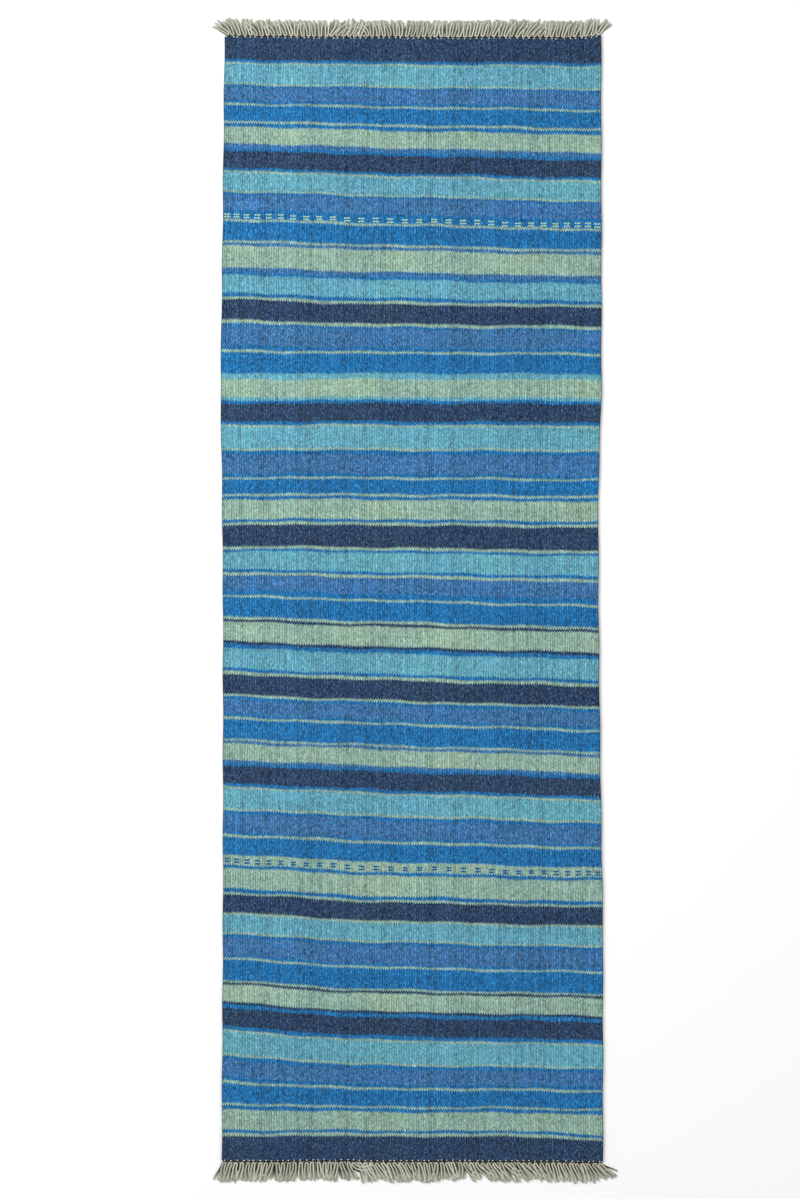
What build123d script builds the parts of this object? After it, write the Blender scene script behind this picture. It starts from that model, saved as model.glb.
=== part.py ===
from build123d import *
import math
import os

# A striped flat-woven runner rug with a fringe at each end, lying flat and face up.
# Origin: the middle of the underside. +Z up, +Y along the rug towards its start end.
# All sizes are in millimetres.

# Overall sizes
RUG_WIDTH = 600.0
WOVEN_LENGTH = 1780.0
WEAVE_THICKNESS = 4.0
START_FRINGE_LENGTH = 27.0
END_FRINGE_LENGTH = 33.0

# Warps: cotton cords that run the length of the rug, hidden inside the wefts
WARP_PITCH = 3.9
WARP_WIDTH = 2.0
WARP_SHARE_OF_THICKNESS = 0.35
WARP_CLEARANCE = 0.1
SELVEDGE_WALL = 1.5

# Folding: the rug is cut into three panels at two fold lines
FOLD_GAP = 0.2

# The weaving plan from the start end to the end end: the yarn and nominal width of
# each weft band. All widths are scaled together so that they add up to WOVEN_LENGTH.
NAVY, BRIGHT, PERIWINKLE, AQUA, SAGE = "navy", "bright", "periwinkle", "aqua", "sage"
SAGE_DASHES, BRIGHT_DASHES = "bright with sage dashes", "sage with bright dashes"

START_PANEL_PLAN = [
    (NAVY, 37), (BRIGHT, 4.5), (SAGE, 2.5), (AQUA, 31.5), (SAGE, 2.5), (BRIGHT, 3),
    (PERIWINKLE, 22), (BRIGHT, 4.5), (SAGE, 3), (BRIGHT, 25.5), (SAGE, 3.5), (BRIGHT, 6.5),
    (SAGE, 27), (PERIWINKLE, 7), (BRIGHT, 5),
    (NAVY, 27), (BRIGHT, 4.5), (SAGE, 3), (AQUA, 28), (SAGE, 2.5), (BRIGHT, 3.5),
    (PERIWINKLE, 24.5), (SAGE_DASHES, 14.5), (SAGE, 3.5), (BRIGHT, 30.5), (SAGE, 3.5),
    (PERIWINKLE, 5), (SAGE, 35), (PERIWINKLE, 8), (BRIGHT, 4.5),
    (AQUA, 28.5), (BRIGHT, 6), (SAGE, 4.5),
    (NAVY, 31), (SAGE, 5), (BRIGHT, 3.5), (PERIWINKLE, 29.5), (BRIGHT, 6.5), (SAGE, 3.5),
    (BRIGHT, 31), (AQUA, 9.5), (SAGE, 28), (AQUA, 5), (BRIGHT, 5),
]
MIDDLE_PANEL_PLAN = [
    (NAVY, 28.5), (BRIGHT, 5.5), (SAGE, 3), (AQUA, 34), (SAGE, 3.5), (BRIGHT, 6.5),
    (PERIWINKLE, 30.5), (BRIGHT, 5.5), (SAGE, 3), (BRIGHT, 23.5), (SAGE, 3.5), (BRIGHT, 5.5),
    (SAGE, 31), (BRIGHT, 5), (SAGE, 4.5),
    (NAVY, 35), (SAGE, 4.5), (BRIGHT, 4), (AQUA, 30), (BRIGHT, 5), (SAGE, 4.5),
    (PERIWINKLE, 25.5), (BRIGHT, 9), (SAGE, 3), (BRIGHT, 31.5), (SAGE, 4), (NAVY, 4.5),
    (SAGE, 31), (NAVY, 5), (BRIGHT, 6), (AQUA, 32.5), (BRIGHT, 5), (SAGE, 5),
    (NAVY, 31.5), (SAGE, 3.5), (BRIGHT, 5), (PERIWINKLE, 23), (BRIGHT, 4.5), (SAGE, 3.5),
    (BRIGHT, 31.5), (SAGE, 3), (PERIWINKLE, 4.5), (SAGE, 26), (PERIWINKLE, 4.5),
    (BRIGHT, 4.5), (NAVY, 28.5), (BRIGHT, 5), (SAGE, 3),
]
END_PANEL_PLAN = [
    (AQUA, 31.5), (SAGE, 3.5), (BRIGHT, 5.5), (PERIWINKLE, 29), (BRIGHT, 4), (SAGE, 4),
    (BRIGHT, 29.5), (BRIGHT_DASHES, 15.5), (BRIGHT, 5.5), (SAGE, 33), (BRIGHT, 6),
    (SAGE, 3.5), (NAVY, 29.5), (SAGE, 3.5), (AQUA, 28), (SAGE, 3), (BRIGHT, 5),
    (PERIWINKLE, 29.5), (BRIGHT, 4), (SAGE, 3), (BRIGHT, 33), (SAGE, 3), (NAVY, 4),
    (SAGE, 28), (NAVY, 4), (BRIGHT, 6), (NAVY, 29), (BRIGHT, 6.5), (SAGE, 3),
    (AQUA, 34.5), (SAGE, 3), (BRIGHT, 6), (PERIWINKLE, 24), (BRIGHT, 5.5), (SAGE, 3.5),
    (BRIGHT, 26.5), (SAGE, 3), (BRIGHT, 6), (SAGE, 29), (BRIGHT, 4.5), (SAGE, 5),
    (NAVY, 38.5),
]
PANEL_PLANS = {"start": START_PANEL_PLAN, "middle": MIDDLE_PANEL_PLAN, "end": END_PANEL_PLAN}
BAND_YARN = {SAGE_DASHES: BRIGHT, BRIGHT_DASHES: SAGE}

# Dashes: pairs of short weft floats let into the face of a dashed band
DASH_PITCH = 20.0
DASH_WIDTH = 10.0
DASH_FLOAT_SHARE = 0.2
DASH_GAP_SHARE = 0.14
DASH_DEPTH_SHARE = 0.15
DASH_PROUD = 0.3

# Fringe: an end cord along each woven end, then a row of knots with two layers of strands each
END_CORD_WIDTH = 1.5
END_CORD_HEIGHT = 2.0
TASSEL_PITCH = 9.2
KNOT_WIDTH_SHARE = 0.62
KNOT_GAP = 0.3
STRANDS_PER_LAYER = 3
STRAND_LAYERS = 2
LAYER_GAP = 0.2
STRAND_WIDTH_SHARE = 0.16
TIP_SPREAD_SHARE = 0.85
CORNER_TASSEL_LEAN = 24.0
LEAN_POWER = 5

# Derived sizes
OVERALL_LENGTH = START_FRINGE_LENGTH + WOVEN_LENGTH + END_FRINGE_LENGTH
WOVEN_START_Y = OVERALL_LENGTH / 2 - START_FRINGE_LENGTH
WOVEN_END_Y = WOVEN_START_Y - WOVEN_LENGTH
PLAN_LENGTH = sum(width for plan in PANEL_PLANS.values() for yarn, width in plan)
PLAN_SCALE = WOVEN_LENGTH / PLAN_LENGTH
WARP_HEIGHT = WARP_SHARE_OF_THICKNESS * WEAVE_THICKNESS
CHANNEL_WIDTH = RUG_WIDTH - 2 * SELVEDGE_WALL
CHANNEL_HEIGHT = WARP_HEIGHT + 2 * WARP_CLEARANCE
WARP_COUNT = round(CHANNEL_WIDTH / WARP_PITCH)
TASSEL_COUNT = round(RUG_WIDTH / TASSEL_PITCH)
TASSEL_SPACING = RUG_WIDTH / TASSEL_COUNT
KNOT_WIDTH = KNOT_WIDTH_SHARE * TASSEL_SPACING
STRAND_WIDTH = STRAND_WIDTH_SHARE * TASSEL_SPACING


def bands_of(panel):
    """Each band of a panel, as its entry in the plan, its +Y edge and its width."""
    bands = []
    edge = WOVEN_START_Y
    for name, plan in PANEL_PLANS.items():
        for entry, nominal_width in plan:
            width = nominal_width * PLAN_SCALE
            if name == panel:
                bands.append((entry, edge, width))
            edge -= width
    # The panels stop short of each other at the fold lines.
    if panel != "start":
        entry, edge, width = bands[0]
        bands[0] = (entry, edge - FOLD_GAP / 2, width - FOLD_GAP / 2)
    if panel != "end":
        entry, edge, width = bands[-1]
        bands[-1] = (entry, edge, width - FOLD_GAP / 2)
    return bands


def dash_places(edge, width):
    """The middle of each pair of floats in a dashed band."""
    count = round(RUG_WIDTH / DASH_PITCH)
    spacing = RUG_WIDTH / count
    return [
        ((column - (count - 1) / 2) * spacing, edge - width / 2)
        for column in range(count)
    ]


def weft_bands(panel, yarn):
    """The bands of one yarn in one panel: flat sleeves around the channel of the warps."""
    with BuildPart() as bands:
        for entry, edge, width in bands_of(panel):
            if BAND_YARN.get(entry, entry) != yarn:
                continue
            with BuildSketch(Plane.XZ.offset(-edge)):
                with Locations((0, WEAVE_THICKNESS / 2)):
                    Rectangle(RUG_WIDTH, WEAVE_THICKNESS)
                    Rectangle(CHANNEL_WIDTH, CHANNEL_HEIGHT, mode=Mode.SUBTRACT)
            extrude(amount=width)
            if entry in BAND_YARN:
                dash_depth = DASH_DEPTH_SHARE * WEAVE_THICKNESS
                pocket_length = (2 * DASH_FLOAT_SHARE + DASH_GAP_SHARE) * width
                with BuildSketch(Plane.XY.offset(WEAVE_THICKNESS - dash_depth)):
                    with Locations(*dash_places(edge, width)):
                        Rectangle(DASH_WIDTH, pocket_length)
                extrude(amount=dash_depth, mode=Mode.SUBTRACT)
    return bands.part


def dash_floats(panel):
    """The pairs of floats in the dashed band of one panel, standing a little proud."""
    with BuildPart() as floats:
        for entry, edge, width in bands_of(panel):
            if entry not in BAND_YARN:
                continue
            dash_depth = DASH_DEPTH_SHARE * WEAVE_THICKNESS
            float_length = DASH_FLOAT_SHARE * width
            float_offset = (float_length + DASH_GAP_SHARE * width) / 2
            places = [
                (x, y + side * float_offset)
                for x, y in dash_places(edge, width)
                for side in (-1, 1)
            ]
            with BuildSketch(Plane.XY.offset(WEAVE_THICKNESS - dash_depth)):
                with Locations(*places):
                    Rectangle(DASH_WIDTH, float_length)
            extrude(amount=dash_depth + DASH_PROUD)
    return floats.part


def warps(panel):
    """The warps of one panel, side by side in the channel inside the bands."""
    bands = bands_of(panel)
    start_y = bands[0][1]
    end_y = bands[-1][1] - bands[-1][2]
    with BuildPart() as cords:
        with BuildSketch(Plane.XZ.offset(-start_y)):
            with Locations((0, WEAVE_THICKNESS / 2)):
                with GridLocations(CHANNEL_WIDTH / WARP_COUNT, 1, WARP_COUNT, 1):
                    Rectangle(WARP_WIDTH, WARP_HEIGHT)
        extrude(amount=start_y - end_y)
    return cords.part


def end_cord(woven_edge, outward):
    """The cord laid across the warps at one woven end, which locks the last weft."""
    with BuildPart() as cord:
        with BuildSketch(Plane.XY):
            with Locations((0, woven_edge + outward * END_CORD_WIDTH / 2)):
                Rectangle(RUG_WIDTH, END_CORD_WIDTH)
        extrude(amount=END_CORD_HEIGHT)
    return cord.part


def tassel_places():
    """The x of each tassel and how far it leans outwards, more towards the corners."""
    places = []
    for number in range(TASSEL_COUNT):
        x = (number - (TASSEL_COUNT - 1) / 2) * TASSEL_SPACING
        side = x / (RUG_WIDTH / 2)
        lean = CORNER_TASSEL_LEAN * math.copysign(abs(side) ** LEAN_POWER, side)
        places.append((x, lean))
    return places


def knots(woven_edge, outward):
    """The row of knots at one end: low eight-sided buttons that rest on the floor."""
    knot_y = woven_edge + outward * (END_CORD_WIDTH + KNOT_GAP + KNOT_WIDTH / 2)
    with BuildPart() as row:
        with BuildSketch(Plane.XY):
            with Locations(*[(x, knot_y) for x, lean in tassel_places()]):
                RegularPolygon(KNOT_WIDTH / 2, 8, major_radius=False, rotation=22.5)
        extrude(amount=WEAVE_THICKNESS)
    return row.part


def strand_places(woven_edge, outward, strand_length):
    """The middle of each strand in one layer and its turn about Z, in degrees."""
    root_y = woven_edge + outward * (END_CORD_WIDTH + KNOT_GAP + KNOT_WIDTH)
    root_step = KNOT_WIDTH / STRANDS_PER_LAYER
    tip_step = TIP_SPREAD_SHARE * TASSEL_SPACING / STRANDS_PER_LAYER
    fan_step = math.atan((tip_step - root_step) / strand_length)
    middle_strand = (STRANDS_PER_LAYER - 1) / 2
    places = []
    for x, lean in tassel_places():
        for strand in range(STRANDS_PER_LAYER):
            step = strand - middle_strand
            angle = math.radians(lean) + step * fan_step
            # A leaning strand starts further out, so that its inner corner clears the knot.
            corner = STRAND_WIDTH / 2 * abs(math.sin(angle))
            centre_x = x + step * root_step + math.sin(angle) * strand_length / 2
            centre_y = root_y + outward * (corner + math.cos(angle) * strand_length / 2)
            turn = -outward * math.degrees(angle)
            places.append(Location((centre_x, centre_y, 0), (0, 0, turn)))
    return places


def strands(woven_edge, outward, fringe_length):
    """The strands of one fringe, fanning out from each knot: one layer on the floor, one above."""
    strand_length = fringe_length - (END_CORD_WIDTH + KNOT_GAP + KNOT_WIDTH)
    with BuildPart() as fringe:
        for layer in range(STRAND_LAYERS):
            with BuildSketch(Plane.XY.offset(layer * (STRAND_WIDTH + LAYER_GAP))):
                with Locations(*strand_places(woven_edge, outward, strand_length)):
                    Rectangle(STRAND_WIDTH, strand_length)
            extrude(amount=STRAND_WIDTH)
    return fringe.part


def save(piece, name):
    piece.label = name
    export_step(piece, f"parts/{name}.step")


os.makedirs("parts", exist_ok=True)

for panel in PANEL_PLANS:
    for yarn in (NAVY, BRIGHT, PERIWINKLE, AQUA, SAGE):
        save(weft_bands(panel, yarn), f"{yarn}_bands_{panel}")
    save(warps(panel), f"warps_{panel}")

save(dash_floats("start"), "sage_dashes_start")
save(dash_floats("end"), "bright_dashes_end")

save(end_cord(WOVEN_START_Y, 1), "end_cord_start")
save(end_cord(WOVEN_END_Y, -1), "end_cord_end")
save(knots(WOVEN_START_Y, 1), "knots_start")
save(knots(WOVEN_END_Y, -1), "knots_end")
save(strands(WOVEN_START_Y, 1, START_FRINGE_LENGTH), "strands_start")
save(strands(WOVEN_END_Y, -1, END_FRINGE_LENGTH), "strands_end")
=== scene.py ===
import math
from collections import namedtuple

import bpy
import numpy as np
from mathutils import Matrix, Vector


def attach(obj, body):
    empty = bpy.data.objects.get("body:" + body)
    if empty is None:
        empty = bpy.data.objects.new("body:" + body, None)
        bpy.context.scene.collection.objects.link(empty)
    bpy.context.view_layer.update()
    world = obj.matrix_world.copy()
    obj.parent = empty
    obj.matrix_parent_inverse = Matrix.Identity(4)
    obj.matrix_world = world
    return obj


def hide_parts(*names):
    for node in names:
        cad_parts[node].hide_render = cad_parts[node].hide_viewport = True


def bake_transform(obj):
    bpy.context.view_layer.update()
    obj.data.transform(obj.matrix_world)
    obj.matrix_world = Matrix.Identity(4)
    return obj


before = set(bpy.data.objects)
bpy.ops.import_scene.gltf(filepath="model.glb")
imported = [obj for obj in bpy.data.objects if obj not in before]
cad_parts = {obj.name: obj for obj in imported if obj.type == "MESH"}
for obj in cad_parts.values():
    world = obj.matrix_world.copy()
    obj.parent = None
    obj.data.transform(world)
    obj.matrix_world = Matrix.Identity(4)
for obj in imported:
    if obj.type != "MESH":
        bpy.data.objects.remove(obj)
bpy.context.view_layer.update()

# A striped flat-woven runner rug, lying face up on a pale floor and seen from straight above.
# Metres, in the CAD frame: +Y along the rug towards its start end, +Z up.
# "Across" is a place's distance to the right of the rug's middle line, and "down" its
# distance from the woven edge at the start end. The materials are drawn in these two.

rng = np.random.default_rng(7)

MM = 0.001

# Woven body
RUG_WIDTH = 600 * MM
WOVEN_LENGTH = 1780 * MM
WOVEN_START_Y = 893 * MM
WEAVE_THICKNESS = 4 * MM
RIB_COUNT = 153
RIB_PITCH = RUG_WIDTH / RIB_COUNT
RIB_HEIGHT = 0.35 * MM
SAMPLES_PER_RIB = 3
ROW_STEP = 4.5 * MM
SELVEDGE_RADIUS = 1.6 * MM
SELVEDGE_SHADE = 3.0 * MM
# The three places where a weft turns round a selvedge: how far in they lie, as shares of the
# selvedge's radius, and how far towards the upper face, as shares of half the thickness
TURN_INSETS = [0.3, 0.0, 0.3]
TURN_SIDES = [0.72, 0.0, -0.72]
TURN_POINTS = len(TURN_INSETS)
TOOTH_HEIGHT = 1.9 * MM
PICK_PITCH = 1.1 * MM
GRAIN_LENGTH = 2.6 * MM

# Edges that turn more than this look sharp
CREASE_ANGLE = math.radians(60)

# The fold line in the middle of the rug, where the bands are split between its start and end halves
MIDDLE_SPLIT_DOWN = 889 * MM

# The bands run down from left to right. How far they rise to the left selvedge and drop to the
# right one from LEVEL_ACROSS, in millimetres, at distances down the rug
SKEW_PLACES = [0, 190, 310, 430, 540, 780, 900, 1140, 1500, 1620, 1670, 1720, 1780]
LEFT_RISES = [2, 8, 6, 8, -1, 0, 7, 9, 14, 16, 10, 1, 0]
RIGHT_DROPS = [1, 10, 11, 6, 1, 5, 11, 13, 9, 7, 4, 2, 1]
LEVEL_ACROSS = -95 * MM
# The right-hand corners: the start one is pulled out, and the bands sag before the end one
CORNER_PULL = 5 * MM
CORNER_PULL_ACROSS = 14 * MM
CORNER_PULL_DOWN = 22 * MM
CORNER_SAG = 8 * MM
CORNER_SAG_DOWN = 1735 * MM
CORNER_SAG_ACROSS = 45 * MM
CORNER_SAG_SPREAD = 32 * MM

# Waves in the lie of the cloth: a height, how far across and down one radian of it reaches,
# and its phase. Ripples move the bands along the rug, lifts raise them, wander moves the selvedges
Wave = namedtuple("Wave", "height across_reach down_reach phase")
RIPPLES = [
    Wave(0.7 * MM, 38 * MM, WOVEN_LENGTH / 21, 0.0),
    Wave(0.6 * MM, 13 * MM, -WOVEN_LENGTH / 33, 1.3),
    Wave(0.55 * MM, 27 * MM, 3.7 * MM, 0.0),
]
LIFTS = [
    Wave(0.25 * MM, 120 * MM, WOVEN_LENGTH / 9.5, 0.0),
    Wave(0.15 * MM, 55 * MM, -WOVEN_LENGTH / 31, 0.0),
]
WANDER_HEIGHT = 0.5 * MM
WANDER_REACH = WOVEN_LENGTH / 85
# Near a woven end the last weft lies straight: its teeth go and its ripples lessen
TOOTH_FADE = 5 * MM
RIPPLE_FADE = 40 * MM
END_RIPPLE_SHARE = 0.35

# How far the two selvedges wander to the right of straight lines, at distances down the rug
SWAY_PLACES = [0, 300 * MM, 560 * MM, 720 * MM, 900 * MM, 1150 * MM, 1400 * MM, 1780 * MM]
LEFT_SWAY = [1 * MM, -2 * MM, -5.5 * MM, -3 * MM, -1.5 * MM, -1.5 * MM, -1.5 * MM, -3.5 * MM]
RIGHT_SWAY = [-1.5 * MM, -1 * MM, -1 * MM, -6 * MM, -5.5 * MM, -2.5 * MM, 1.5 * MM, 1.5 * MM]

# The weaving plan from the start end to the end end: yarn and nominal width in millimetres
NAVY, BRIGHT, PERIWINKLE, AQUA, SAGE = "navy", "bright", "periwinkle", "aqua", "sage"
WEAVING_PLAN = [
    (NAVY, 37), (BRIGHT, 4.5), (SAGE, 2.5), (AQUA, 31.5), (SAGE, 2.5), (BRIGHT, 3),
    (PERIWINKLE, 22), (BRIGHT, 4.5), (SAGE, 3), (BRIGHT, 25.5), (SAGE, 3.5), (BRIGHT, 6.5),
    (SAGE, 27), (PERIWINKLE, 7), (BRIGHT, 5),
    (NAVY, 27), (BRIGHT, 4.5), (SAGE, 3), (AQUA, 28), (SAGE, 2.5), (BRIGHT, 3.5),
    (PERIWINKLE, 24.5), (BRIGHT, 14.5), (SAGE, 3.5), (BRIGHT, 30.5), (SAGE, 3.5),
    (PERIWINKLE, 5), (SAGE, 35), (PERIWINKLE, 8), (BRIGHT, 4.5),
    (AQUA, 28.5), (BRIGHT, 6), (SAGE, 4.5),
    (NAVY, 31), (SAGE, 5), (BRIGHT, 3.5), (PERIWINKLE, 29.5), (BRIGHT, 6.5), (SAGE, 3.5),
    (BRIGHT, 31), (AQUA, 9.5), (SAGE, 28), (AQUA, 5), (BRIGHT, 5),
    (NAVY, 28.5), (BRIGHT, 5.5), (SAGE, 3), (AQUA, 34), (SAGE, 3.5), (BRIGHT, 6.5),
    (PERIWINKLE, 30.5), (BRIGHT, 5.5), (SAGE, 3), (BRIGHT, 23.5), (SAGE, 3.5), (BRIGHT, 5.5),
    (SAGE, 31), (BRIGHT, 5), (SAGE, 4.5),
    (NAVY, 35), (SAGE, 4.5), (BRIGHT, 4), (AQUA, 30), (BRIGHT, 5), (SAGE, 4.5),
    (PERIWINKLE, 25.5), (BRIGHT, 9), (SAGE, 3), (BRIGHT, 31.5), (SAGE, 4), (NAVY, 4.5),
    (SAGE, 31), (NAVY, 5), (BRIGHT, 6), (AQUA, 32.5), (BRIGHT, 5), (SAGE, 5),
    (NAVY, 31.5), (SAGE, 3.5), (BRIGHT, 5), (PERIWINKLE, 23), (BRIGHT, 4.5), (SAGE, 3.5),
    (BRIGHT, 31.5), (SAGE, 3), (PERIWINKLE, 4.5), (SAGE, 26), (PERIWINKLE, 4.5),
    (BRIGHT, 4.5), (NAVY, 28.5), (BRIGHT, 5), (SAGE, 3),
    (AQUA, 31.5), (SAGE, 3.5), (BRIGHT, 5.5), (PERIWINKLE, 29), (BRIGHT, 4), (SAGE, 4),
    (BRIGHT, 29.5), (SAGE, 15.5), (BRIGHT, 5.5), (SAGE, 33), (BRIGHT, 6),
    (SAGE, 3.5), (NAVY, 29.5), (SAGE, 3.5), (AQUA, 28), (SAGE, 3), (BRIGHT, 5),
    (PERIWINKLE, 29.5), (BRIGHT, 4), (SAGE, 3), (BRIGHT, 33), (SAGE, 3), (NAVY, 4),
    (SAGE, 28), (NAVY, 4), (BRIGHT, 6), (NAVY, 29), (BRIGHT, 6.5), (SAGE, 3),
    (AQUA, 34.5), (SAGE, 3), (BRIGHT, 6), (PERIWINKLE, 24), (BRIGHT, 5.5), (SAGE, 3.5),
    (BRIGHT, 26.5), (SAGE, 3), (BRIGHT, 6), (SAGE, 29), (BRIGHT, 4.5), (SAGE, 5),
    (NAVY, 38.5),
]

# Dashes: pairs of short floats in two of the bands, closer together near the selvedges
DASH_COLUMNS = 30
DASH_CROWDING = 0.16
DASH_LENGTH = 10 * MM
DASH_FLOAT_WIDTH = 3.0 * MM
DASH_FLOAT_OFFSET = 2.3 * MM
DASH_POINTS = 9
# A float's middle line lies this far under the face, and its ends dip further
DASH_SINK = 0.6 * MM
DASH_END_DIP = 0.72 * MM
DASH_TAPER = 0.35
# The two floats of a pair bow towards each other, about the place where their bow is level
DASH_PINCH = 0.6 * MM
DASH_LEVEL = 0.4
DASH_GAIN = 1.4
SAGE_DASHES_DOWN = 285.7 * MM
BRIGHT_DASHES_DOWN = 1313 * MM

# Fringe: each tassel is three yarns doubled over, laid from the lowest to the topmost. A head is
# half the width of the arch at a yarn's root, and a spread is how much wider its tips are
Yarn = namedtuple("Yarn", "radius head spread lift tone")
# The yarns' tones are painted light: the lower two are painted dark as the shade of the yarns above them,
# and the topmost is painted lighter, as lit from above
YARNS = [
    Yarn(1.25 * MM, 3.2 * MM, 2.6 * MM, 0.0, 0.16),
    Yarn(1.15 * MM, 0.8 * MM, 1.0 * MM, 0.25 * MM, 0.34),
    Yarn(1.3 * MM, 2.2 * MM, 1.3 * MM, 0.5 * MM, 1.16),
]
TASSEL_COUNT = 65
TASSEL_SPACING = RUG_WIDTH / TASSEL_COUNT
TASSEL_JITTER = 0.5 * MM
ROOT_JITTER = 0.8 * MM
LEAN_JITTER = 3
STRAND_LOBE = 0.15
STRAND_TWIST = 7 * MM
STRAND_SIDES = 8
LEG_POINTS = 15
ARCH_POINTS = 7

# How much the yarns differ: degrees of lean and of curl, and shares of spread, radius and tone
YARN_LEAN_JITTER = 2.5
YARN_CURL_JITTER = 4
YARN_SPREAD_RANGE = (0.6, 1.4)
YARN_RADIUS_RANGE = (0.94, 1.06)
YARN_TONE_RANGE = (0.84, 1.14)

# The shape of every yarn: how high it rests, in radii, how it sinks and swells towards its
# tips, how it wavers from side to side, and how its legs spread and curl
YARN_REST_SHARE = 1.1
TIP_DROP = 0.2
TIP_SWELL = 0.1
SWELL_RISE = 3
SWELL_START = 1.6
TIP_ROUNDING = 0.8
WIGGLE = 0.4 * MM
WIGGLE_TURNS = 6
CURL = 9
SPREAD_BEND = 1.3
CURLED_SHARE = 0.02
CURLED_BY = 35
LONGEST_LEAN = 30
LONGEST_SHARE = 0.97

# A lower yarn is in the shade of the ones above it, except near its tips
DARKEST_TONE = 0.06
TIP_TONE = 0.95
SHADE_ENDS = 0.55
SHADE_FADE = 0.4

# Loose fibres at the cut end of a strand
FIBRE_COUNT = 5
FIBRE_RADII = np.array([0.34, 0.3, 0.22, 0.1]) * MM
FIBRE_SIDES = 4
FIBRE_START = -0.4
FIBRE_AIM_JITTER = 0.38 * np.array([1, 1, 0.35])
FIBRE_PLACE_JITTER = 0.45 * MM * np.array([1, 1, 0.5])
FIBRE_LENGTHS = (1.2 * MM, 3.4 * MM)
FIBRE_LOWEST = 0.4 * MM

# Each end's fringe. Its leans are in degrees to the right, at places across in millimetres
# A fringe's contrast scales the painted shade and painted highlight of its yarns
Fringe = namedtuple("Fringe", "edge_down outward length root_gap shortest girth contrast lean_places leans")
FRINGES = {
    "start": Fringe(
        edge_down=0.0, outward=1, length=27 * MM, root_gap=0.2 * MM,
        shortest=0.88, girth=1.0, contrast=1.0,
        lean_places=[
            -300, -285, -250, -170, -142, -128, -90, -70, -30, 0, 30, 130, 165, 205, 225, 280, 300,
        ],
        leans=[-52, -24, -18, -12, -4, 36, 36, -6, 0, 14, 8, 18, 34, 28, 8, 18, 38],
    ),
    "end": Fringe(
        edge_down=WOVEN_LENGTH, outward=-1, length=33 * MM, root_gap=1.2 * MM,
        shortest=0.80, girth=1.1, contrast=1.25,
        lean_places=[-300, -280, -250, -200, -120, -105, -20, 10, 40, 70, 100, 190, 210, 280, 300],
        leans=[-28, -18, -10, 0, 0, 28, 36, 22, 6, 10, 34, 38, 16, 26, 62],
    ),
}

# End cord: it lies against the woven end and surfaces in a small bead near each tassel. The cord is painted
# nearly black, as painted shadow in the gap between the woven end and the fringe
END_CORD_RADIUS = 1.4 * MM
END_CORD_MARGIN = 2 * MM
END_CORD_OFFSET = 0.8
END_CORD_HEIGHT = 1.2
END_CORD_POINTS = 620
END_CORD_PAINTED_SHADOW_TONE = 0.08
END_BEAD_TONE = 1.6
END_BEAD_RADII = 1.0 * MM * np.array([0.35, 0.8, 1, 0.8, 0.35])
END_BEAD_MARGIN = 3 * MM
END_BEAD_JITTER = 1.2 * MM
END_BEAD_DOWN_RANGE = (-0.4 * MM, 0.6 * MM)
END_BEAD_REACHES = (0.9 * MM, 1.7 * MM)
END_BEAD_SLANT = 0.3 * MM
END_BEAD_SINK = 0.2 * MM
END_BEAD_END_DIP = 0.5 * MM

WOOL_COLOURS = {
    NAVY: (0.011, 0.038, 0.102),
    BRIGHT: (0.004, 0.132, 0.365),
    PERIWINKLE: (0.026, 0.143, 0.335),
    AQUA: (0.090, 0.340, 0.460),
    SAGE: (0.240, 0.400, 0.330),
}
FLECK_COLOURS = {
    NAVY: (0.10, 0.15, 0.22),
    BRIGHT: (0.07, 0.28, 0.51),
    PERIWINKLE: (0.17, 0.28, 0.47),
    AQUA: (0.30, 0.50, 0.60),
    SAGE: (0.44, 0.57, 0.50),
}
PATCH_COLOURS = {
    NAVY: (0.012, 0.040, 0.092),
    BRIGHT: (0.003, 0.134, 0.370),
    PERIWINKLE: (0.024, 0.144, 0.375),
    AQUA: (0.096, 0.355, 0.425),
    SAGE: (0.270, 0.425, 0.305),
}
# Wool: a tone is a share of the yarn's colour, and each variation is how much of it a pattern adds.
# A grain is a pattern's size across, its size down, and its detail
# Painted shade: the wool is painted darkest in the valleys between the ribs and lighter on their crests
PAINTED_VALLEY_SHADE_TONE = 0.62
RIB_PAINTED_SHADE = 0.46
# Painted shade in the dips between the beads of each rib
BEAD_PAINTED_SHADE = 0.16
RIB_VARIATION = 0.22
GRAIN_VARIATION = 0.60
HEATHER_VARIATION = 0.56
STREAK_VARIATION = 0.16
ABRASH_VARIATION = 0.08
CLOUD_VARIATION = 0.06
HEATHER_GRAIN = (2.6 * MM, 2.2 * MM, 3.0)
STREAK_GRAIN = (3.6 * MM, 60 * MM, 2.0)
ABRASH_GRAIN = (900 * MM, 14 * MM, 3.0)
CLOUD_GRAIN = (120 * MM, 160 * MM, 2.0)
FLECK_GRAIN = (2.8 * MM, 2.8 * MM, 2.0)
NOISE_STRETCH = 3.0
HEATHER_CONTRAST = {NAVY: 1.45, BRIGHT: 1.12, PERIWINKLE: 1.15, AQUA: 0.85, SAGE: 0.83}
DARKEST_WOOL = 0.2
SELVEDGE_TONE = 0.3
PATCH_STRENGTH = 1.3
PATCH_SHARE = 0.25
FLECK_STRENGTH = 1.2
MOST_FLECK = 0.8
WOOL_ROUGHNESS = 0.92
WOOL_SHINE = 0.2
WOOL_SHEEN = 0.12
WOOL_SHEEN_ROUGHNESS = 0.5
WOOL_FUZZ = 0.35
WOOL_RELIEF_STRENGTH = 0.7
WOOL_RELIEF_DEPTH = 0.35 * MM

COTTON_COLOUR = (0.47, 0.47, 0.38)
COTTON_TONE = 0.95
COTTON_ROUGHNESS = 0.95
COTTON_SHINE = 0.15
FIBRE_GRAIN = (0.35 * MM, 3 * MM, 2.0)
FIBRE_SLANT = 0.5
FIBRE_VARIATION = 0.16
COTTON_PATCH_GRAIN = (5 * MM, 6 * MM, 2.0)
COTTON_PATCH_VARIATION = 0.08
COTTON_RELIEF_STRENGTH = 0.6
COTTON_RELIEF_DEPTH = 0.2 * MM


# ---------------------------------------------------------------- the lie of the cloth


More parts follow.
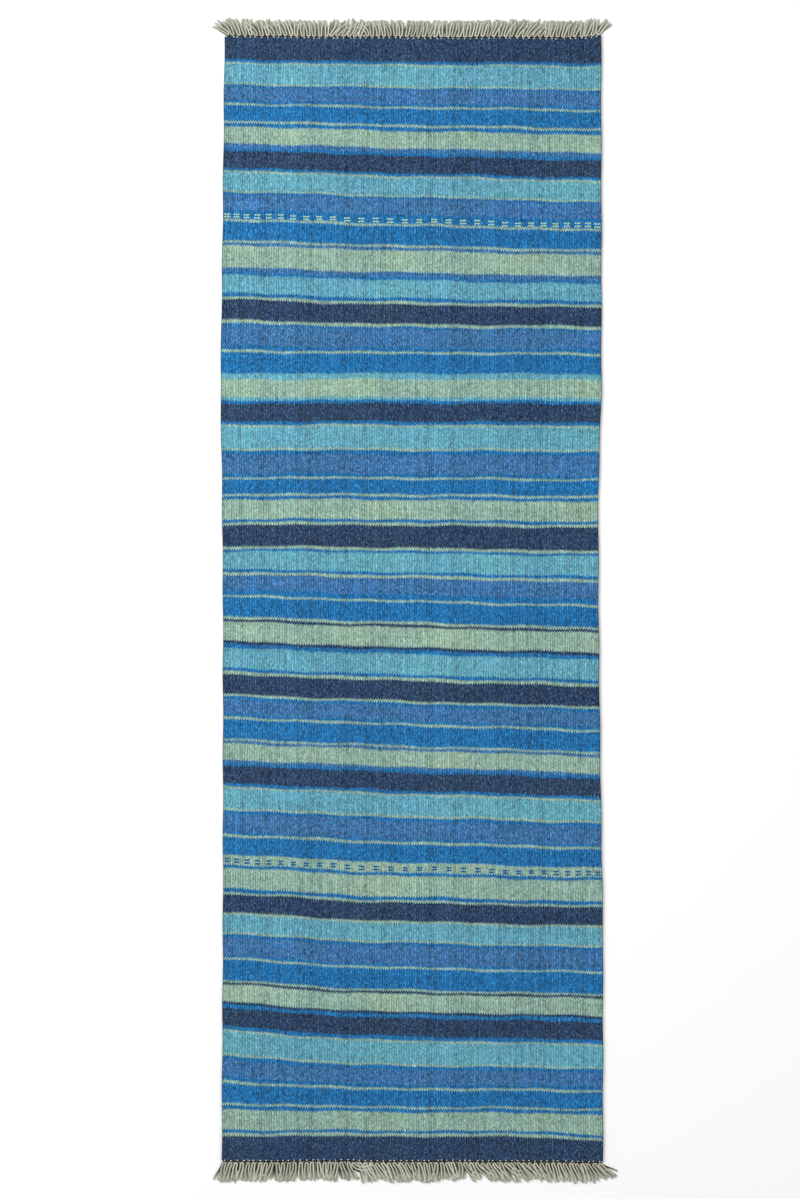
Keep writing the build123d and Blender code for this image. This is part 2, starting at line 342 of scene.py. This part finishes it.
def skew(across, down):
    """How far a weft dips at a place, because it runs down from left to right and into the corners."""
    left_reach = RUG_WIDTH / 2 + LEVEL_ACROSS
    right_reach = RUG_WIDTH / 2 - LEVEL_ACROSS
    past_level = across - LEVEL_ACROSS
    left_rise = np.interp(down / MM, SKEW_PLACES, LEFT_RISES) * MM
    right_drop = np.interp(down / MM, SKEW_PLACES, RIGHT_DROPS) * MM
    dip = left_rise * np.minimum(past_level, 0) / left_reach
    dip = dip + right_drop * np.maximum(past_level, 0) / right_reach
    from_right = across - RUG_WIDTH / 2
    dip = dip - CORNER_PULL * np.exp(from_right / CORNER_PULL_ACROSS - down / CORNER_PULL_DOWN)
    from_sag = (down - CORNER_SAG_DOWN) / CORNER_SAG_SPREAD
    return dip + CORNER_SAG * np.exp(from_right / CORNER_SAG_ACROSS - from_sag ** 2)


def swing(wave, across, down):
    """The value of a wave at a place, from -1 to 1."""
    return np.sin(across / wave.across_reach + down / wave.down_reach + wave.phase)


def lie(across, down):
    """Where a place of the woven body lies: x, y and how far it is lifted off the floor."""
    from_end = np.minimum(down, WOVEN_LENGTH - down)
    tooth = TOOTH_HEIGHT * np.cos(2 * np.pi * across / RIB_PITCH) * np.minimum(1, from_end / TOOTH_FADE)
    ripple = sum(wave.height * swing(wave, across, down) for wave in RIPPLES)
    ripple_share = END_RIPPLE_SHARE + (1 - END_RIPPLE_SHARE) * np.minimum(1, from_end / RIPPLE_FADE)
    y = WOVEN_START_Y - down - skew(across, down) - ripple * ripple_share - tooth
    left = np.interp(down, SWAY_PLACES, LEFT_SWAY)
    right = np.interp(down, SWAY_PLACES, RIGHT_SWAY)
    x = across + left + (right - left) * (across / RUG_WIDTH + 0.5)
    x = x + WANDER_HEIGHT * np.sin(down / WANDER_REACH)
    lift = sum(wave.height * (1 + swing(wave, across, down)) for wave in LIFTS)
    return x, y, lift


def rib_relief(across):
    """How far the surface sinks between two ribs, from 0 on a rib's crest."""
    return RIB_HEIGHT * (0.5 + 0.5 * np.cos(2 * np.pi * (across / RIB_PITCH + 0.5)))


def surface_height(across, down):
    """Height of the rug's upper face above the floor."""
    return lie(across, down)[2] + WEAVE_THICKNESS - rib_relief(across)


# ---------------------------------------------------------------- meshes


def new_piece(name, points, faces, uvs, material, tones=None):
    """A mesh object whose UV map holds each vertex's place across and down the rug."""
    mesh = bpy.data.meshes.new(name)
    mesh.from_pydata(points.tolist(), [], faces)
    layer = mesh.uv_layers.new(name="UVMap")
    loops = np.zeros(len(mesh.loops), np.int32)
    mesh.loops.foreach_get("vertex_index", loops)
    layer.data.foreach_set("uv", uvs[loops].astype(np.float32).ravel())
    mesh.polygons.foreach_set("use_smooth", np.ones(len(mesh.polygons), bool))
    mesh.set_sharp_from_angle(angle=CREASE_ANGLE)
    mesh.materials.append(material)
    if tones is not None:
        stored = mesh.attributes.new("tone", "FLOAT", "POINT")
        stored.data.foreach_set("value", tones.astype(np.float32))
    piece = bpy.data.objects.new(name, mesh)
    bpy.context.scene.collection.objects.link(piece)
    return piece


def weft_round():
    """Places across on one weft's way round the rug, and their sides: 1 is the upper face, -1 the lower."""
    face = np.linspace(-1, 1, RIB_COUNT * SAMPLES_PER_RIB + 1) * (RUG_WIDTH / 2 - SELVEDGE_RADIUS)
    turn = RUG_WIDTH / 2 - SELVEDGE_RADIUS * np.array(TURN_INSETS)
    turn_side = np.array(TURN_SIDES)
    across = np.concatenate([face, turn, face[::-1], -turn])
    side = np.concatenate([np.ones(len(face)), turn_side, -np.ones(len(face)), -turn_side])
    return across, side


def woven_end(first, face_count, turned):
    """Faces that close a woven end between the upper and the lower face, and round both selvedges."""
    lower_end = 2 * face_count + TURN_POINTS - 1
    upper = first + np.arange(face_count - 1)
    lower = first + lower_end - np.arange(face_count - 1)
    faces = np.stack([upper, upper + 1, lower - 1, lower], axis=-1).tolist()
    faces.append([first + face_count - 1 + k for k in range(TURN_POINTS + 2)])
    faces.append([first + lower_end + k for k in range(TURN_POINTS + 1)] + [first])
    return [face[::-1] for face in faces] if turned else faces


def band_strip(top, width, first_vertex):
    """One weft band round both faces, open where it meets its neighbours: points, faces and UVs."""
    across, side = weft_round()
    rows = max(1, math.ceil(width / ROW_STEP)) + 1
    ring = len(across)
    u, v = np.meshgrid(across, np.linspace(top, top + width, rows))
    x, y, lift = lie(u, v)
    half = WEAVE_THICKNESS / 2 - np.where(np.abs(side) == 1, rib_relief(u), 0)
    z = lift + WEAVE_THICKNESS / 2 + side * half
    points = np.stack([x, y, z], axis=-1).reshape(-1, 3)
    uvs = np.stack([u, v], axis=-1).reshape(-1, 2)
    i, k = np.meshgrid(np.arange(rows - 1), np.arange(ring), indexing="ij")
    n = (k + 1) % ring
    walls = np.stack([i * ring + k, (i + 1) * ring + k, (i + 1) * ring + n, i * ring + n], axis=-1)
    faces = (walls.reshape(-1, 4) + first_vertex).tolist()
    face_count = ring // 2 - TURN_POINTS
    if top < MM:
        faces += woven_end(first_vertex, face_count, False)
    if top + width > WOVEN_LENGTH - MM:
        faces += woven_end(first_vertex + (rows - 1) * ring, face_count, True)
    return points, faces, uvs


def woven_piece(name, bands, material):
    """All the bands of one yarn in one half of the rug, as one piece."""
    all_points = []
    all_faces = []
    all_uvs = []
    count = 0
    for top, width in bands:
        points, faces, uvs = band_strip(top, width, count)
        all_points.append(points)
        all_faces += faces
        all_uvs.append(uvs)
        count += len(points)
    return new_piece(name, np.concatenate(all_points), all_faces, np.concatenate(all_uvs), material)


def tube(path, radii, twist_start, sides=STRAND_SIDES, lobe=STRAND_LOBE):
    """A closed tube along a path, with the two lobes of a plied cord winding round it."""
    path = np.asarray(path)
    tangents = np.gradient(path, axis=0)
    tangents /= np.linalg.norm(tangents, axis=1)[:, None]
    out = np.cross(tangents, [0.0, 0.0, 1.0])
    out /= np.linalg.norm(out, axis=1)[:, None]
    up = np.cross(out, tangents)
    steps = np.linalg.norm(np.diff(path, axis=0), axis=1)
    length = np.concatenate([[0], np.cumsum(steps)])
    angle = np.linspace(0, 2 * np.pi, sides, endpoint=False)
    turn = (length / STRAND_TWIST)[:, None] * 2 * np.pi + twist_start
    bulge = 1 + lobe * np.cos(2 * (angle[None, :] - turn))
    reach = radii[:, None] * bulge
    points = (
        path[:, None, :]
        + out[:, None, :] * (reach * np.cos(angle))[..., None]
        + up[:, None, :] * (reach * np.sin(angle))[..., None]
    )
    rings = len(path)
    i, k = np.meshgrid(np.arange(rings - 1), np.arange(sides), indexing="ij")
    n = (k + 1) % sides
    walls = np.stack(
        [i * sides + k, i * sides + n, (i + 1) * sides + n, (i + 1) * sides + k], axis=-1
    )
    faces = walls.reshape(-1, 4).tolist()
    faces.append(list(range(sides))[::-1])
    faces.append([(rings - 1) * sides + k for k in range(sides)])
    uvs = np.stack([
        angle[None, :] / np.pi * radii[:, None],
        np.broadcast_to(length[:, None], reach.shape),
    ], axis=-1)
    return points.reshape(-1, 3), faces, uvs.reshape(-1, 2)


class Gathered:
    """Points, faces, UVs and tones of many parts, gathered into one mesh."""

    def __init__(self):
        self.points = []
        self.faces = []
        self.uvs = []
        self.tones = []
        self.count = 0

    def add(self, points, faces, uvs, tone=1.0):
        self.points.append(points)
        self.faces += [[v + self.count for v in face] for face in faces]
        self.uvs.append(uvs)
        self.tones.append(np.broadcast_to(tone, len(points)))
        self.count += len(points)

    def piece(self, name, material):
        return new_piece(
            name, np.concatenate(self.points), self.faces, np.concatenate(self.uvs), material,
            np.concatenate(self.tones),
        )


# ---------------------------------------------------------------- materials


def add_node(tree, kind, **inputs):
    """A shader node, with settings for its properties and links or values for its sockets."""
    node = tree.nodes.new(kind)
    for key, value in inputs.items():
        if key.startswith("in"):
            socket = node.inputs[int(key[2:])]
            if isinstance(value, bpy.types.NodeSocket):
                tree.links.new(value, socket)
            else:
                socket.default_value = value
        else:
            setattr(node, key, value)
    return node


def maths(tree, operation, a, b=0.0):
    return add_node(tree, "ShaderNodeMath", operation=operation, in0=a, in1=b).outputs[0]


def times(tree, value, factor):
    return maths(tree, "MULTIPLY", value, factor)


def plus(tree, first, second):
    return maths(tree, "ADD", first, second)


def limited(tree, value, low, high):
    """The value, kept between a low and a high limit."""
    return maths(tree, "MINIMUM", maths(tree, "MAXIMUM", value, low), high)


def mixed(tree, share, first, second):
    """A colour between the first and the second: all second where share is 1."""
    mix = add_node(tree, "ShaderNodeMix", data_type="RGBA")
    tree.links.new(share, mix.inputs["Factor"])
    for socket, colour in ((mix.inputs[6], first), (mix.inputs[7], second)):
        if isinstance(colour, bpy.types.NodeSocket):
            tree.links.new(colour, socket)
        else:
            socket.default_value = (*colour, 1)
    return mix.outputs[2]


def scaled_colour(tree, colour, tone):
    """A colour made lighter or darker by a tone."""
    node = add_node(tree, "ShaderNodeVectorMath", operation="SCALE", in0=colour)
    tree.links.new(tone, node.inputs["Scale"])
    return node.outputs[0]


def start_material(name):
    material = bpy.data.materials.new(name)
    material.use_nodes = True
    tree = material.node_tree
    return material, tree, tree.nodes["Principled BSDF"]


def roughen(tree, shader, relief, strength, depth):
    """Fine relief on a surface, from a height in the material."""
    bump = add_node(tree, "ShaderNodeBump")
    bump.inputs["Strength"].default_value = strength
    bump.inputs["Distance"].default_value = depth
    tree.links.new(relief, bump.inputs["Height"])
    tree.links.new(bump.outputs[0], shader.inputs["Normal"])


def uv_axes(tree):
    place = add_node(tree, "ShaderNodeUVMap", uv_map="UVMap").outputs[0]
    split = add_node(tree, "ShaderNodeSeparateXYZ", in0=place)
    return split.outputs[0], split.outputs[1]


def noise(tree, across, down, across_size, down_size, detail):
    """Smooth noise from about -1 to 1, with grains of the given size across and down."""
    scaled = add_node(
        tree, "ShaderNodeCombineXYZ",
        in0=times(tree, across, 1 / across_size),
        in1=times(tree, down, 1 / down_size),
    ).outputs[0]
    node = add_node(tree, "ShaderNodeTexNoise", noise_dimensions="2D", in0=scaled)
    node.inputs["Scale"].default_value = 1.0
    node.inputs["Detail"].default_value = detail
    centred = maths(tree, "SUBTRACT", node.outputs[0], 0.5)
    return times(tree, centred, NOISE_STRETCH)


def cell_noise(tree, column, row):
    """A level value from -0.5 to 0.5 for each whole column and row."""
    cell = add_node(tree, "ShaderNodeCombineXYZ", in0=column, in1=row).outputs[0]
    node = add_node(tree, "ShaderNodeTexWhiteNoise", noise_dimensions="2D", in0=cell)
    return maths(tree, "SUBTRACT", node.outputs[0], 0.5)


def wool_material(yarn, name, gain=1.0):
    """Heathered wool packed over ribs: beads on each rib, streaks along it, bands of abrash."""
    material, tree, shader = start_material(name)
    across, down = uv_axes(tree)
    rib_place = plus(tree, times(tree, across, 1 / RIB_PITCH), 0.5)
    rib = maths(tree, "FLOOR", rib_place)
    rib_phase = maths(tree, "FRACT", rib_place)
    # One bead per pick and rib, set half a pick lower on every other rib
    odd = maths(tree, "PINGPONG", rib, 1.0)
    pick = plus(tree, times(tree, down, 1 / PICK_PITCH), times(tree, odd, 0.5))
    pick_wave = times(tree, maths(tree, "COSINE", times(tree, pick, 2 * math.pi)), 0.5)
    rib_wave = maths(tree, "SINE", times(tree, rib_phase, math.pi))
    bead = times(tree, plus(tree, pick_wave, 0.5), rib_wave)
    grain = maths(tree, "FLOOR", times(tree, pick, PICK_PITCH / GRAIN_LENGTH))
    heather = noise(tree, across, down, *HEATHER_GRAIN)
    cloud = noise(tree, across, down, *CLOUD_GRAIN)
    contrast = HEATHER_CONTRAST[yarn]
    # The rib and bead parts of the tone are painted shade, in the valleys between the ribs and in the dips
    # between the beads; the other parts are the wool's own tone
    tone = PAINTED_VALLEY_SHADE_TONE
    for part, strength in (
        (rib_wave, RIB_PAINTED_SHADE),
        (bead, BEAD_PAINTED_SHADE),
        (cell_noise(tree, rib, 0.0), RIB_VARIATION),
        (cell_noise(tree, rib, grain), GRAIN_VARIATION * contrast),
        (heather, HEATHER_VARIATION * contrast),
        (noise(tree, across, down, *STREAK_GRAIN), STREAK_VARIATION),
        (noise(tree, across, down, *ABRASH_GRAIN), ABRASH_VARIATION),
        (cloud, CLOUD_VARIATION),
    ):
        tone = plus(tree, times(tree, part, strength), tone)
    # The wool is darker towards each selvedge
    from_edge = maths(tree, "SUBTRACT", RUG_WIDTH / 2, maths(tree, "ABSOLUTE", across))
    selvedge = plus(tree, times(tree, from_edge, (1 - SELVEDGE_TONE) / SELVEDGE_SHADE), SELVEDGE_TONE)
    selvedge = maths(tree, "MINIMUM", selvedge, 1.0)
    tone = times(tree, maths(tree, "MAXIMUM", tone, DARKEST_WOOL), selvedge)
    patch = limited(tree, plus(tree, times(tree, cloud, PATCH_STRENGTH), PATCH_SHARE), 0.0, 1.0)
    ground = mixed(tree, patch, WOOL_COLOURS[yarn], PATCH_COLOURS[yarn])
    fleck = noise(tree, across, down, *FLECK_GRAIN)
    fleck = limited(tree, times(tree, fleck, FLECK_STRENGTH), 0.0, MOST_FLECK)
    colour = mixed(tree, fleck, ground, FLECK_COLOURS[yarn])
    colour = scaled_colour(tree, colour, times(tree, tone, gain))
    tree.links.new(colour, shader.inputs["Base Color"])
    shader.inputs["Roughness"].default_value = WOOL_ROUGHNESS
    shader.inputs["Specular IOR Level"].default_value = WOOL_SHINE
    shader.inputs["Sheen Weight"].default_value = WOOL_SHEEN
    shader.inputs["Sheen Roughness"].default_value = WOOL_SHEEN_ROUGHNESS
    relief = plus(tree, bead, times(tree, heather, WOOL_FUZZ))
    roughen(tree, shader, relief, WOOL_RELIEF_STRENGTH, WOOL_RELIEF_DEPTH)
    return material


def cotton_material():
    """Undyed plied cotton: fine twisted fibres, a little greyer in places."""
    material, tree, shader = start_material("undyed_cotton")
    around, along = uv_axes(tree)
    twisted = plus(tree, around, times(tree, along, FIBRE_SLANT))
    fibres = noise(tree, twisted, along, *FIBRE_GRAIN)
    tone = plus(tree, times(tree, fibres, FIBRE_VARIATION), COTTON_TONE)
    patches = noise(tree, around, along, *COTTON_PATCH_GRAIN)
    tone = plus(tree, tone, times(tree, patches, COTTON_PATCH_VARIATION))
    # The stored tone carries each strand's painted shade and its own random tone, and the end cord's
    # painted shadow
    strand_tone = add_node(tree, "ShaderNodeAttribute", attribute_name="tone").outputs["Fac"]
    colour = scaled_colour(tree, COTTON_COLOUR, times(tree, tone, strand_tone))
    tree.links.new(colour, shader.inputs["Base Color"])
    shader.inputs["Roughness"].default_value = COTTON_ROUGHNESS
    shader.inputs["Specular IOR Level"].default_value = COTTON_SHINE
    roughen(tree, shader, fibres, COTTON_RELIEF_STRENGTH, COTTON_RELIEF_DEPTH)
    return material


wool = {yarn: wool_material(yarn, f"{yarn}_wool") for yarn in WOOL_COLOURS}
cotton = cotton_material()


# ---------------------------------------------------------------- woven body


def bands_by_yarn():
    """The bands of each half of the rug, by yarn: lists of (place down, width)."""
    scale = WOVEN_LENGTH / (sum(width for yarn, width in WEAVING_PLAN) * MM)
    halves = {"start": {}, "end": {}}
    down = 0.0
    for yarn, width in WEAVING_PLAN:
        width = width * MM * scale
        half = "start" if down + width / 2 < MIDDLE_SPLIT_DOWN else "end"
        halves[half].setdefault(yarn, []).append((down, width))
        down += width
    return halves


for half, yarns in bands_by_yarn().items():
    for yarn, bands in yarns.items():
        piece = woven_piece(f"{yarn}_weave_{half}", bands, wool[yarn])
        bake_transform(piece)
        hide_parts(f"{yarn}_bands_{half}")
        if half == "start":
            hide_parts(f"{yarn}_bands_middle")
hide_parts("warps_start", "warps_middle", "warps_end")


# ---------------------------------------------------------------- dashes


def dash_float(gathered, across, down, bow):
    """One short float: a low rounded bar on the face of the weave, bowed towards its neighbour."""
    t = np.linspace(-1, 1, DASH_POINTS)
    rib = round(across / RIB_PITCH) * RIB_PITCH
    u = np.full_like(t, rib)
    v = down + bow * (t ** 2 - DASH_LEVEL)
    x, y, _ = lie(u, v)
    x = x + across - rib + t * DASH_LENGTH / 2
    z = surface_height(u, v) - DASH_SINK - DASH_END_DIP * np.abs(t) ** 3
    radii = DASH_FLOAT_WIDTH / 2 * (1 - DASH_TAPER * np.abs(t) ** 6)
    gathered.add(*tube(np.stack([x, y, z], axis=-1), radii, 0.0, lobe=0.0))


def dash_row(name, down, material):
    """One row of pairs of floats."""
    gathered = Gathered()
    for column in range(DASH_COLUMNS):
        place = (column + 0.5) / DASH_COLUMNS * 2 - 1
        across = (place + DASH_CROWDING * (place - place ** 3)) * RUG_WIDTH / 2
        for side in (-1, 1):
            dash_float(gathered, across, down + side * DASH_FLOAT_OFFSET, side * DASH_PINCH)
    return gathered.piece(name, material)


sage_float_wool = wool_material(SAGE, "sage_float_wool", DASH_GAIN)
sage_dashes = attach(dash_row("sage_dashes", SAGE_DASHES_DOWN, sage_float_wool), "start_panel")
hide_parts("sage_dashes_start")
bright_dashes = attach(dash_row("bright_dashes", BRIGHT_DASHES_DOWN, wool[BRIGHT]), "end_panel")
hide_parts("bright_dashes_end")


# ---------------------------------------------------------------- fringe


def yarn_path(root, outward, lean, length, head, spread, curl, height):
    """A yarn doubled over: from one tip, round an arch of half-width head at the root, to the other tip."""
    t = np.linspace(1, 0, LEG_POINTS)
    leg_out = t * length
    leg_side = head + spread * t ** SPREAD_BEND
    arch = np.linspace(0, np.pi, ARCH_POINTS + 2)[1:-1]
    side = np.concatenate([-leg_side, -head * np.cos(arch), leg_side[::-1]])
    out = np.concatenate([leg_out, -head * np.sin(arch), leg_out[::-1]])
    share = np.clip(out / length, 0, 1)
    turn = np.radians(lean + curl * share)
    side = side + WIGGLE * np.sin(share * WIGGLE_TURNS + curl)
    x = root[0] + side * np.cos(turn) + out * np.sin(turn)
    y = root[1] + outward * (out * np.cos(turn) - side * np.sin(turn))
    z = height * (1 - TIP_DROP * share)
    return np.stack([x, y, z], axis=-1)


def frayed_tip(gathered, tip, direction, tone):
    """A few loose fibres at the cut end of a strand."""
    for _ in range(FIBRE_COUNT):
        aim = direction + rng.normal(0, 1, 3) * FIBRE_AIM_JITTER
        aim /= np.linalg.norm(aim)
        reach = rng.uniform(*FIBRE_LENGTHS)
        start = tip + rng.normal(0, 1, 3) * FIBRE_PLACE_JITTER
        t = np.linspace(FIBRE_START, 1, len(FIBRE_RADII))[:, None]
        path = start + aim * reach * t
        path[:, 2] = np.maximum(path[:, 2], FIBRE_LOWEST)
        gathered.add(*tube(path, FIBRE_RADII, 0.0, sides=FIBRE_SIDES, lobe=0.0), tone)


def yarn_radii(radius, count):
    """A yarn's radius along its way: a little swollen near its tips, and rounded off at them."""
    radii = np.full(count, radius) * rng.uniform(*YARN_RADIUS_RANGE)
    from_head = np.abs(np.linspace(-1, 1, count))
    radii *= 1 + TIP_SWELL * np.clip(SWELL_RISE * from_head - SWELL_START, 0, 1)
    radii[[0, -1]] *= TIP_ROUNDING
    return radii


def yarn_shade(tone, count):
    """A yarn's tone along its way: painted shade that lightens near its tips, times a tone of its own at
    random.
    """
    from_head = np.abs(np.linspace(-1, 1, count))
    near_tip = np.clip((from_head - SHADE_ENDS) / SHADE_FADE, 0, 1)
    return (tone + max(TIP_TONE - tone, 0) * near_tip) * rng.uniform(*YARN_TONE_RANGE)


def tassel(gathered, root, lean, full_length, make_up):
    """Three doubled yarns with six loose strands, their cut ends frayed."""
    curl = rng.normal(0, CURL)
    if rng.random() < CURLED_SHARE:
        curl += math.copysign(CURLED_BY, curl)
    reach = full_length / math.cos(math.radians(min(abs(lean), LONGEST_LEAN)))
    for yarn in YARNS:
        length = reach * rng.uniform(make_up.shortest, LONGEST_SHARE)
        radius = yarn.radius * make_up.girth
        # The fringe's contrast deepens the painted shade of the lower yarns and the painted highlight of
        # the topmost one
        tone = max(1 + (yarn.tone - 1) * make_up.contrast, DARKEST_TONE)
        yarn_lean = lean + rng.normal(0, YARN_LEAN_JITTER)
        spread = yarn.spread * rng.uniform(*YARN_SPREAD_RANGE)
        yarn_curl = curl + rng.normal(0, YARN_CURL_JITTER)
        height = radius * YARN_REST_SHARE + yarn.lift
        path = yarn_path(root, make_up.outward, yarn_lean, length, yarn.head, spread, yarn_curl, height)
        radii = yarn_radii(radius, len(path))
        path[:, 2] = np.maximum(path[:, 2], radii * (1 + STRAND_LOBE))
        shade = yarn_shade(tone, len(path))
        gathered.add(*tube(path, radii, rng.uniform(0, 2 * np.pi)), np.repeat(shade, STRAND_SIDES))
        for tip, before in ((path[0], path[1]), (path[-1], path[-2])):
            direction = tip - before
            frayed_tip(gathered, tip, direction / np.linalg.norm(direction), shade[0])


def tassel_place(number, jitter):
    """How far across the tassel of this number is, give or take the jitter."""
    return (number - (TASSEL_COUNT - 1) / 2) * TASSEL_SPACING + rng.normal(0, jitter)


def fringe(name, make_up):
    """One end's row of tassels."""
    gathered = Gathered()
    setback = make_up.root_gap + max(yarn.head for yarn in YARNS) + max(yarn.radius for yarn in YARNS)
    for number in range(TASSEL_COUNT):
        across = tassel_place(number, TASSEL_JITTER)
        edge_x, edge_y, _ = lie(across, make_up.edge_down)
        lean = np.interp(across / MM, make_up.lean_places, make_up.leans) + rng.normal(0, LEAN_JITTER)
        root = (edge_x, edge_y + make_up.outward * (setback + rng.uniform(0, ROOT_JITTER)))
        tassel(gathered, root, lean, make_up.length - setback, make_up)
    return gathered.piece(name, cotton)


def end_cord(name, make_up):
    """The cord that locks the last weft: it lies along the woven end and surfaces in small beads. The cord
    is painted nearly black, a painted shadow in the gap before the fringe.
    """
    gathered = Gathered()
    cord_end = RUG_WIDTH / 2 - END_CORD_MARGIN
    u = np.linspace(-cord_end, cord_end, END_CORD_POINTS)
    x, y, _ = lie(u, np.full_like(u, make_up.edge_down))
    y = y + make_up.outward * END_CORD_RADIUS * END_CORD_OFFSET
    z = np.full_like(u, END_CORD_RADIUS * END_CORD_HEIGHT)
    path = np.stack([x, y, z], axis=-1)
    gathered.add(*tube(path, np.full(len(u), END_CORD_RADIUS), 0.0), END_CORD_PAINTED_SHADOW_TONE)
    bead_end = RUG_WIDTH / 2 - END_BEAD_MARGIN
    for number in range(TASSEL_COUNT):
        across = np.clip(tassel_place(number, END_BEAD_JITTER), -bead_end, bead_end)
        down = make_up.edge_down + make_up.outward * rng.uniform(*END_BEAD_DOWN_RANGE)
        x, y, _ = lie(across, down)
        top = surface_height(across, down) - END_BEAD_SINK
        reach = rng.uniform(*END_BEAD_REACHES)
        t = np.linspace(-1, 1, len(END_BEAD_RADII))
        path = np.stack([x + t * reach, y + t * END_BEAD_SLANT, top - END_BEAD_END_DIP * t ** 2], axis=-1)
        gathered.add(*tube(path, END_BEAD_RADII, 0.0, lobe=0.0), END_BEAD_TONE)
    return gathered.piece(name, cotton)


for half, make_up in FRINGES.items():
    tassels = fringe(f"fringe_{half}", make_up)
    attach(tassels, f"{half}_fringe")
    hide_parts(f"knots_{half}", f"strands_{half}")
    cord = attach(end_cord(f"end_cord_{half}_visual", make_up), f"{half}_panel")
    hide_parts(f"end_cord_{half}")


# ---------------------------------------------------------------- floor, light and camera


FLOOR_SIZE = 40
FLOOR_Z = -0.2 * MM
FLOOR_COLOUR = (0.97, 0.97, 0.97, 1)
FLOOR_ROUGHNESS = 0.9
FLOOR_SHINE = 0.1
WORLD_STRENGTH = 0.43
# Each light: its place, its width and length, and its power in watts
KEY_LIGHT = ((-2.2, 1.2, 2.4), (2.0, 2.4), 102)
FILL_LIGHT = ((2.0, -0.6, 3.2), (3.0, 3.0), 40)
CAMERA_PLACE = (-20.6 * MM, 2.4 * MM, 5.286)
CAMERA_LENS = 100
CAMERA_SENSOR = 36


def add_floor():
    bpy.ops.mesh.primitive_plane_add(size=FLOOR_SIZE, location=(0, 0, FLOOR_Z))
    plane = bpy.context.object
    plane.name = "floor"
    paint, _, shader = start_material("pale_floor")
    shader.inputs["Base Color"].default_value = FLOOR_COLOUR
    shader.inputs["Roughness"].default_value = FLOOR_ROUGHNESS
    shader.inputs["Specular IOR Level"].default_value = FLOOR_SHINE
    plane.data.materials.append(paint)


def add_soft_box(name, place, size, power):
    """A large soft light, aimed at the middle of the rug."""
    light = bpy.data.lights.new(name, "AREA")
    light.shape = "RECTANGLE"
    light.size, light.size_y = size
    light.energy = power
    lamp = bpy.data.objects.new(name, light)
    bpy.context.scene.collection.objects.link(lamp)
    lamp.location = place
    lamp.rotation_euler = (-Vector(place)).to_track_quat("-Z", "Y").to_euler()


def add_world():
    world = bpy.data.worlds.new("studio")
    world.use_nodes = True
    background = world.node_tree.nodes["Background"]
    background.inputs["Color"].default_value = (1, 1, 1, 1)
    background.inputs["Strength"].default_value = WORLD_STRENGTH
    bpy.context.scene.world = world


def add_camera():
    camera_data = bpy.data.cameras.new("camera")
    camera_data.lens = CAMERA_LENS
    camera_data.sensor_width = CAMERA_SENSOR
    camera = bpy.data.objects.new("camera", camera_data)
    camera.location = CAMERA_PLACE
    bpy.context.scene.collection.objects.link(camera)
    bpy.context.scene.camera = camera


add_floor()
add_soft_box("key_light", *KEY_LIGHT)
add_soft_box("fill_light", *FILL_LIGHT)
add_world()
add_camera()
bpy.context.scene.view_settings.view_transform = "Standard"
